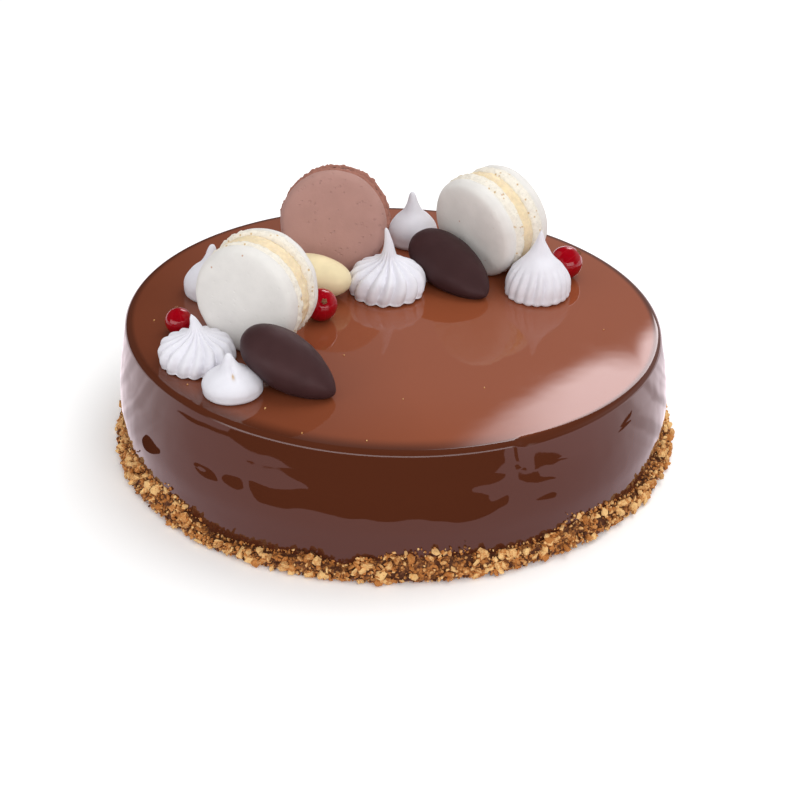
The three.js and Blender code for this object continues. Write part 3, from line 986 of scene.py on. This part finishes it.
def almond(spec):
    """An almond, widest nearer its round end, pressed a little flat."""
    mesh = bmesh.new()
    bmesh.ops.create_uvsphere(mesh, u_segments=64, v_segments=44, radius=1.0)
    for vert in mesh.verts:
        x, y, z = vert.co
        along = (z + 1) / 2
        out = math.hypot(x, y)
        girth = (along ** ROUND_END * (1 - along) ** POINTED_END / FULLEST) if 0 < along < 1 else 0.0
        ring = girth / out if out > 1e-6 else 0.0
        vert.co = (
            (along - 0.5) * spec["length"],
            y * ring * spec["width"] / 2,
            x * ring * spec["thickness"] / 2,
        )
    bmesh.ops.recalc_face_normals(mesh, faces=mesh.faces)
    rough_up(mesh, 0.22, 9, spec["seed"])
    return mesh


def almond_place(spec):
    turn = (
        Matrix.Rotation(math.radians(spec["heading"]), 4, "Z")
        @ Matrix.Rotation(math.radians(spec["dip"]), 4, "Y")
        @ Matrix.Rotation(math.radians(spec["roll"]), 4, "X")
    )
    return placed(spec, spec["rise"]) @ turn


class OBJECT_OT_cake_almonds(bpy.types.Operator):
    """Make the chocolate almonds"""

    bl_idname = "object.cake_almonds"
    bl_label = "Almonds"

    def execute(self, context):
        settings = context.scene.cake_toppings
        kinds = {
            True: (almond_material("dark_chocolate", settings.dark, 0.5), "dark_chocolate"),
            False: (almond_material("white_chocolate", settings.ivory, 0.32), "white_chocolate"),
        }
        for spec in ALMONDS:
            topping_piece(almond(spec), almond_place(spec), spec["name"], *kinds[spec["dark"]])
        return {"FINISHED"}


# ---------------------------------------------------------------- berries
VEIN = (0.42, 0.010, 0.018)
DRIED = (0.42, 0.20, 0.10)
CHARRED = (0.08, 0.02, 0.012)


def berry_material(settings):
    """Thin wet skin over dark red flesh, with faint veins from end to end."""
    shader = Shader("red_berry")
    veined = shader.mixed(shader.band(shader.attribute("vein"), 0.8, 1.0), settings.red, VEIN)
    shader.set(Base_Color=veined, Roughness=0.08, IOR=1.4, Coat_Weight=0.12, Coat_Roughness=0.03,
               Subsurface_Weight=0.25, Subsurface_Radius=(0.004, 0.0008, 0.0006), Subsurface_Scale=0.6)
    shader.bump(shader.noise(0.0025, detail=2.0), 0.0001, 0.2)
    return shader.material


def calyx_material():
    """The dried flower end."""
    shader = Shader("dried_calyx")
    grain = shader.noise(0.0006)
    shader.set(Base_Color=shader.mixed(grain, DRIED, CHARRED), Roughness=0.85)
    shader.bump(grain, 0.0002, 0.8)
    return shader.material


def berry(spec):
    mesh = bmesh.new()
    bmesh.ops.create_uvsphere(mesh, u_segments=60, v_segments=36, radius=spec["radius"])
    vein = mesh.verts.layers.float.new("vein")
    for vert in mesh.verts:
        angle = math.atan2(vert.co.y, vert.co.x)
        vert[vein] = abs(math.cos(5 * angle)) ** 6
        polar = math.acos(max(-1, min(1, vert.co.z / spec["radius"])))
        if polar < 0.35:
            vert.co.z -= spec["radius"] * 0.06 * (1 - polar / 0.35)
    rough_up(mesh, 0.04, 5, spec["seed"])
    return mesh


def calyx(spec):
    """A small tuft of withered petals."""
    radius = spec["radius"]
    outline = [(0, 0.86), (0.14, 0.9), (0.17, 0.97), (0.12, 1.03), (0.11, 1.09), (0.07, 1.08), (0, 1.02)]
    mesh = turned([(out * radius, up * radius) for out, up in smooth_line(outline, 3)], 36)
    for vert in mesh.verts:
        x, y, z = vert.co
        angle = math.atan2(y, x)
        flare = 1 + 0.28 * math.cos(5 * angle + spec["seed"]) * max(0.0, z / radius - 0.9) / 0.15
        vert.co = (x * flare, y * flare, z)
    rough_up(mesh, 0.12, 0.7, spec["seed"] + 1)
    return mesh


def berry_place(spec):
    turn = Vector((0, 0, 1)).rotation_difference(Vector(spec["eye"])).to_matrix().to_4x4()
    return placed(spec, spec["radius"] - 0.2) @ turn


class OBJECT_OT_cake_berries(bpy.types.Operator):
    """Make the red berries with their dried flower ends"""

    bl_idname = "object.cake_berries"
    bl_label = "Berries"

    def execute(self, context):
        material = berry_material(context.scene.cake_toppings)
        dried = calyx_material()
        for spec in BERRIES:
            place = berry_place(spec)
            topping_piece(berry(spec), place, spec["name"], material, "berry")
            tuft = calyx(spec)
            bmesh.ops.transform(tuft, matrix=place, verts=tuft.verts)
            mesh_piece(tuft, f"{spec['name']}_calyx", dried)
        return {"FINISHED"}


# ---------------------------------------------------------------- floor, lights and camera
CAMERA_PLACE = Vector((0.0, -0.5815, 0.3479))
CAMERA_YAW = 0.0038
CAMERA_PITCH = 0.5255
CAMERA_ROLL = 0.002
CAMERA_LENS = 82.75
SENSOR_WIDTH = 36.0


# Width and height of the picture, in pixels.
PICTURE_SIZE = 800


def camera_axes():
    """The camera's own directions to the right, up and backwards."""
    look = Vector((
        math.sin(CAMERA_YAW) * math.cos(CAMERA_PITCH),
        math.cos(CAMERA_YAW) * math.cos(CAMERA_PITCH),
        -math.sin(CAMERA_PITCH),
    ))
    right = look.cross(Vector((0, 0, 1))).normalized()
    up = right.cross(look)
    level, tilt = math.cos(CAMERA_ROLL), math.sin(CAMERA_ROLL)
    return level * right + tilt * up, level * up - tilt * right, -look


def camera():
    data = bpy.data.cameras.new("camera")
    data.lens = CAMERA_LENS
    data.sensor_width = SENSOR_WIDTH
    view = linked("camera", data)
    view.matrix_world = Matrix.Translation(CAMERA_PLACE) @ Matrix(camera_axes()).transposed().to_4x4()
    bpy.context.scene.camera = view


# What the shiny glaze mirrors, by direction seen from the cake, in degrees: azimuth is turned from the back
# (+Y) towards the right (+X). The big soft window hangs at the back right, above a slanting lower edge with a
# step.
WINDOW_EDGE = (4.3, 30.5)
WINDOW_SLOPE = (0.555, 0.832)
WINDOW_BLUR = 0.4
WINDOW_STEP = (10.3, 27.3)
WINDOW_LEFT = (3.2, 8.6)
WINDOW_FAR = (24.0, 40.0)
WINDOW_FADE = 4.0
WINDOW_GLOW = 6.0
MIRRORED_WALL = 0.49
HORIZON_GLOW = 3.4
HORIZON_SIDES = (-115, -100, 120, 135)
HORIZON_RISE = (-2, 0, 17, 25)
MIRRORED_TINT = (1.0, 0.91, 0.94)

# The world's light where it isn't mirrored, and what is added to it for the camera.
SOFT_LIGHT = 0.52
WHITE_FOR_CAMERA = 0.68

# The floor's colours as the camera sees it, as it lights the cake and as it is mirrored, in front and behind.
FLOOR_SIZE = 4.0
FLOOR_HEIGHT = -0.0001
FLOOR_SEEN = (1.22, 1.22, 1.22)
FLOOR_LIGHT = (0.62, 0.60, 0.60)
LILAC = (1.0, 0.74, 0.82)
PALE_LILAC = (1.0, 0.87, 0.93)
STREAK = 0.28

# Distances between which the floor fades to white for the camera, in metres.
FADE = (0.3, 0.8)

LIGHTS = (
    dict(name="overhead", place=(0.35, 0.35, 0.95), target=(0.0, 0.0, 0.03), size=0.8, power=4.4),
    dict(name="front_fill", place=(0.5, -1.7, 1.1), target=(0.02, 0.0, 0.05), size=1.6, power=18.5),
    dict(name="left_fill", place=(-1.6, -1.15, 0.42), target=(0.03, 0.03, 0.06), size=1.3, power=7.0),
)

# The dark things round the camera that the side of the cake mirrors, as flat cards on the floor. Most
# outlines are given in the picture, in pixels, and mirrored() works out where each point lies on the floor.
NEAR_LEFT = ((173, 413.5), (188, 420.5), (203, 428.5), (220, 436), (232, 438))
NEAR_EDGE = (
    (505, 455), (508, 466), (505, 475), (497, 484), (475, 487), (472, 492), (490, 494), (489, 501),
    (500, 496), (509, 493), (512, 503), (499, 509), (484, 518), (469, 522), (443, 521), (416, 518),
    (396, 521), (370, 519), (346, 519), (322, 513), (300, 510), (285, 510), (268, 506), (256, 499),
    (247, 487), (249, 482), (269, 487), (286, 491), (300, 492), (313, 492), (300, 482), (276, 467),
    (256, 459), (233, 444), (224, 441), (205, 434), (190, 426),
)
RING = ((193, 463), (202, 464), (212, 471), (220, 484), (208, 481), (197, 473))
BAR = ((519, 444), (525, 445))
SMALL_SHAPES = (
    ((224, 476), (232, 477), (243, 486), (242, 489.5), (230, 487), (222, 481)),
    ((141, 438), (146, 433), (158, 447), (161, 453), (150, 455), (143, 447)),
    ((534, 446), (567, 448), (564, 451), (544, 460), (538, 469), (534, 461)),
    ((517.5, 473), (536.5, 469.6), (560, 476), (548, 479), (522, 480.6)),
    ((534, 500), (552, 491), (558, 492), (556, 497), (540, 500)),
)

# These are placed on the floor itself, in millimetres: the far end of the large shape, the ring's hole with
# the slit that leads into it, the near end of the bar, and a line at the right.
FAR_END = ((-1100, -850), (-700, -1500), (700, -1500), (1040, -1010))
RING_HOLE = ((-128, -77.6), (-127.6, -82), (-124, -84), (-125, -89), (-131, -89), (-133, -84), (-129, -82),
             (-129, -77.4))
BAR_END = ((176, -172), (156, -196))
LINE = ((176, -10), (184, -14), (183, -44), (177, -42))

# The rim's rounding and the steps of its arc that the outlines were given for, how high up the cake is still
# its side, and how flat a mirrored ray may leave it.
PICKED_RIM = (2.8, 11)
SIDE_HEIGHT = 44.0
FLATTEST = -0.03
CARD_HEIGHT = -0.00005


def leaning(outline):
    """How far an outline of (radius, height) leans outwards at each of its points, as (lean, height)."""
    leans = [(after[0] - point[0]) / (after[1] - point[1]) for point, after in zip(outline, outline[1:])]
    around = [leans[0], *leans, leans[-1]]
    return [((below + above) / 2, height) for below, above, (_, height) in zip(around, around[1:], outline)]


def untilted(place):
    """Height of a place as a share of the tilted cake's height there, times the cake's height."""
    return place.z / top_height(place.x, place.y) * CAKE_HEIGHT


def side_met(ray, outline):
    """Where a ray from the camera meets the cake's side, in millimetres."""
    start = CAMERA_PLACE / MM

    def inside(reach):
        place = start + ray * reach
        height = untilted(place)
        return height < SIDE_HEIGHT and math.hypot(place.x, place.y) < outline_radius(outline, height)

    near, step = start.length / 2, 1.0
    while not inside(near + step):
        near += step
    for _ in range(20):
        step /= 2
        if not inside(near + step):
            near += step
    return start + ray * near


def mirrored(pixel, outline):
    """The place on the floor that the cake's side mirrors at a pixel of the picture, in whole millimetres."""
    right, up, back = camera_axes()
    across, down = ((value / PICTURE_SIZE - 0.5) * SENSOR_WIDTH / CAMERA_LENS for value in pixel)
    ray = (across * right - down * up - back).normalized()
    place = side_met(ray, outline)
    facing = Vector((place.x, place.y, 0)).normalized()
    facing.z = -outline_radius(leaning(outline), untilted(place))
    bounce = ray.reflect(facing.normalized())
    bounce.z = min(bounce.z, FLATTEST)
    ground = place - bounce * (place.z / bounce.z)
    return round(ground.x), round(ground.y)


def floor_material():
    """A pale floor: white to the camera, a little calmer as a source of light, lilac where it is mirrored."""
    shader = Shader("pale_floor")
    shader.material.cycles.emission_sampling = "NONE"
    shader.tree.nodes.remove(shader.principled)
    x, y, _ = shader.split(shader.object_place)
    noise_values = {"W": shader.maths("ARCTAN2", x, y), "Scale": 5.0}
    streaks = shader.filled("ShaderNodeTexNoise", noise_values, noise_dimensions="1D").outputs["Fac"]
    streak = shader.product(shader.band(y, -0.05, 0.01), shader.band(streaks, 0.35, 0.65, -STREAK, STREAK))
    level = shader.maths(
        "MAXIMUM", shader.band(x, 0.1, 0.3, 0.92, 1.3), shader.band(y, -0.08, 0.0, 0.92, 1.4)
    )
    glow = {
        "Color": shader.mixed(shader.band(y, -0.1, 0.0), LILAC, PALE_LILAC),
        "Strength": shader.product(level, shader.maths("ADD", streak, 1.0)),
    }
    reflected = shader.filled("ShaderNodeEmission", glow).outputs[0]
    seen = shader.filled("ShaderNodeBsdfDiffuse", {"Color": FLOOR_SEEN}).outputs[0]
    light = shader.filled("ShaderNodeBsdfDiffuse", {"Color": FLOOR_LIGHT}).outputs[0]
    white = shader.node("ShaderNodeEmission").outputs[0]
    path = shader.node("ShaderNodeLightPath").outputs
    for_camera = shader.chosen(shader.band(shader.from_axis(x, y), *FADE), seen, white)
    for_cake = shader.chosen(path["Is Glossy Ray"], light, reflected)
    surface = shader.chosen(path["Is Camera Ray"], for_cake, for_camera)
    shader.fill(shader.tree.nodes["Material Output"].inputs["Surface"], surface)
    return shader.material


def floor():
    mesh = bmesh.new()
    bmesh.ops.create_grid(mesh, x_segments=1, y_segments=1, size=FLOOR_SIZE)
    data = bpy.data.meshes.new("floor")
    mesh.to_mesh(data)
    mesh.free()
    data.materials.append(floor_material())
    ground = linked("floor", data)
    ground.location.z = FLOOR_HEIGHT


def rounded(outline):
    """An outline with its corners cut twice, at a quarter of each edge."""
    for _ in range(2):
        outline = [
            tuple(a + (b - a) * share for a, b in zip(start, end))
            for start, end in zip(outline, [*outline[1:], outline[0]]) for share in (0.25, 0.75)
        ]
    return outline


def dark_shapes():
    """Flat black cards on the floor, which only mirrored rays see."""
    side = side_and_rim(*PICKED_RIM)

    def on_floor(pixels):
        return [mirrored(pixel, side) for pixel in pixels]

    outlines = [on_floor(pixels) for pixels in SMALL_SHAPES]
    outlines.append([*on_floor(NEAR_LEFT), *FAR_END, *on_floor(NEAR_EDGE)])
    outlines.append([*on_floor(RING), *RING_HOLE])
    outlines.append([*on_floor(BAR), *BAR_END])
    outlines.append(LINE)
    points, faces = [], []
    for outline in outlines:
        around = rounded(outline)
        faces.append(range(len(points), len(points) + len(around)))
        points += [(x * MM, y * MM, CARD_HEIGHT) for x, y in around]
    data = bpy.data.meshes.new("dark_shapes")
    data.from_pydata(points, [], faces)
    card = Shader("black_card")
    card.set(Base_Color=(0, 0, 0), Specular_IOR_Level=0)
    data.materials.append(card.material)
    cards = linked("dark_shapes", data)
    cards.visible_camera = cards.visible_diffuse = cards.visible_shadow = False


def area_light(name, place, target, size, power):
    """A square lamp that lights the cake but isn't mirrored in it."""
    data = bpy.data.lights.new(name, "AREA")
    data.size = size
    data.energy = power
    light = linked(name, data)
    light.location = place
    light.rotation_mode = "QUATERNION"
    light.rotation_quaternion = (Vector(target) - Vector(place)).to_track_quat("-Z", "Y")
    light.visible_glossy = False


def window(sky, turn, rise):
    """The soft window by its direction in degrees."""
    step_turn, step_rise = WINDOW_STEP
    far_turn, far_rise = WINDOW_FAR
    above = sky.maths(
        "ADD",
        sky.product(sky.maths("SUBTRACT", turn, WINDOW_EDGE[0]), WINDOW_SLOPE[0]),
        sky.product(sky.maths("SUBTRACT", rise, WINDOW_EDGE[1]), WINDOW_SLOPE[1]),
    )
    return sky.product(
        sky.band(above, -WINDOW_BLUR, WINDOW_BLUR),
        sky.maths("MAXIMUM", sky.band(rise, step_rise - 0.4, step_rise + 0.4),
                  sky.band(turn, step_turn - 0.3, step_turn + 0.3)),
        sky.band(turn, *WINDOW_LEFT),
        sky.band(turn, far_turn, far_turn + WINDOW_FADE, 1.0, 0.0),
        sky.band(rise, far_rise, far_rise + WINDOW_FADE, 1.0, 0.0),
        WINDOW_GLOW,
    )


def back_wall(sky, turn, rise):
    """The wall behind the cake by its direction in degrees, dimmer upwards and towards both sides."""
    return sky.product(
        sky.band(turn, -7.5, 1.0, 0.12, 1.0),
        sky.band(rise, 28.6, 31.5, 1.0, 0.4),
        sky.band(rise, 36, 46, 1.0, 0.2),
        sky.band(sky.maths("ABSOLUTE", turn), 70, 120, 1.0, 0.05),
        MIRRORED_WALL,
    )


def horizon(sky, turn, rise):
    """The bright band low behind the camera by its direction in degrees."""
    left_full, left_end, right_start, right_full = HORIZON_SIDES
    low_start, low_full, high_full, high_end = HORIZON_RISE
    return sky.product(
        sky.maths("MAXIMUM", sky.band(turn, right_start, right_full),
                  sky.band(turn, left_full, left_end, 1.0, 0.0)),
        sky.band(rise, low_start, low_full),
        sky.band(rise, high_full, high_end, 1.0, 0.0),
        HORIZON_GLOW,
    )


def world():
    """White to the camera, an even pale light all round, and the studio's walls where they are mirrored."""
    made = bpy.data.worlds.new("studio")
    bpy.context.scene.world = made
    made.use_nodes = True
    made.cycles.sampling_method = "NONE"
    sky = Nodes(made.node_tree)
    x, y, z = sky.split(sky.node("ShaderNodeTexCoord").outputs["Generated"])
    turn = sky.product(sky.maths("ARCTAN2", x, y), 180 / math.pi)
    rise = sky.product(sky.maths("ARCSINE", z), 180 / math.pi)
    glow = sky.maths("ADD", sky.maths("ADD", window(sky, turn, rise), back_wall(sky, turn, rise)),
                     horizon(sky, turn, rise))
    path = sky.node("ShaderNodeLightPath").outputs
    unmirrored = sky.maths("ADD", sky.product(path["Is Camera Ray"], WHITE_FOR_CAMERA), SOFT_LIGHT)
    levels = {0: path["Is Glossy Ray"], 2: unmirrored, 3: glow}
    background = sky.tree.nodes["Background"]
    sky.fill(background.inputs["Color"], sky.mixed(path["Is Glossy Ray"], (1, 1, 1), MIRRORED_TINT))
    strength = sky.filled("ShaderNodeMix", levels, data_type="FLOAT").outputs[0]
    sky.fill(background.inputs["Strength"], strength)


class OBJECT_OT_cake_stage(bpy.types.Operator):
    """Make the floor, the lights and the camera"""

    bl_idname = "object.cake_stage"
    bl_label = "Stage"

    def execute(self, context):
        context.scene.view_settings.view_transform = "Standard"
        context.scene.view_settings.look = "None"
        world()
        floor()
        dark_shapes()
        camera()
        for lamp in LIGHTS:
            area_light(**lamp)
        return {"FINISHED"}


# ---------------------------------------------------------------- panel and registration
OPERATORS = (
    OBJECT_OT_cake_stage,
    OBJECT_OT_cake_glaze,
    OBJECT_OT_cake_crumbs,
    OBJECT_OT_cake_macarons,
    OBJECT_OT_cake_meringues,
    OBJECT_OT_cake_almonds,
    OBJECT_OT_cake_berries,
)
SETTINGS = {
    "cake_glaze": GlazeSettings,
    "cake_crumbs": CrumbSettings,
    "cake_macarons": MacaronSettings,
    "cake_toppings": ToppingSettings,
}


class VIEW3D_PT_cake(bpy.types.Panel):
    """The cake's pieces and their settings"""

    bl_idname = "VIEW3D_PT_cake"
    bl_label = "Mousse cake"
    bl_space_type = "VIEW_3D"
    bl_region_type = "UI"
    bl_category = "Cake"

    def draw(self, context):
        for operator in OPERATORS:
            self.layout.operator(operator.bl_idname)
        for group_name in SETTINGS:
            group = getattr(context.scene, group_name)
            for prop in group.bl_rna.properties:
                if prop.identifier not in {"rna_type", "name"}:
                    self.layout.prop(group, prop.identifier)


CLASSES = (*SETTINGS.values(), *OPERATORS, VIEW3D_PT_cake)


def register():
    for cls in CLASSES:
        bpy.utils.register_class(cls)
    for group_name, cls in SETTINGS.items():
        setattr(bpy.types.Scene, group_name, bpy.props.PointerProperty(type=cls))


def unregister():
    for group_name in SETTINGS:
        delattr(bpy.types.Scene, group_name)
    for cls in reversed(CLASSES):
        bpy.utils.unregister_class(cls)


def main():
    register()
    bpy.ops.object.cake_stage()
    bpy.ops.object.cake_glaze()
    bpy.ops.object.cake_crumbs()
    bpy.ops.object.cake_macarons()
    bpy.ops.object.cake_meringues()
    bpy.ops.object.cake_almonds()
    bpy.ops.object.cake_berries()


if __name__ == "__main__":
    main()
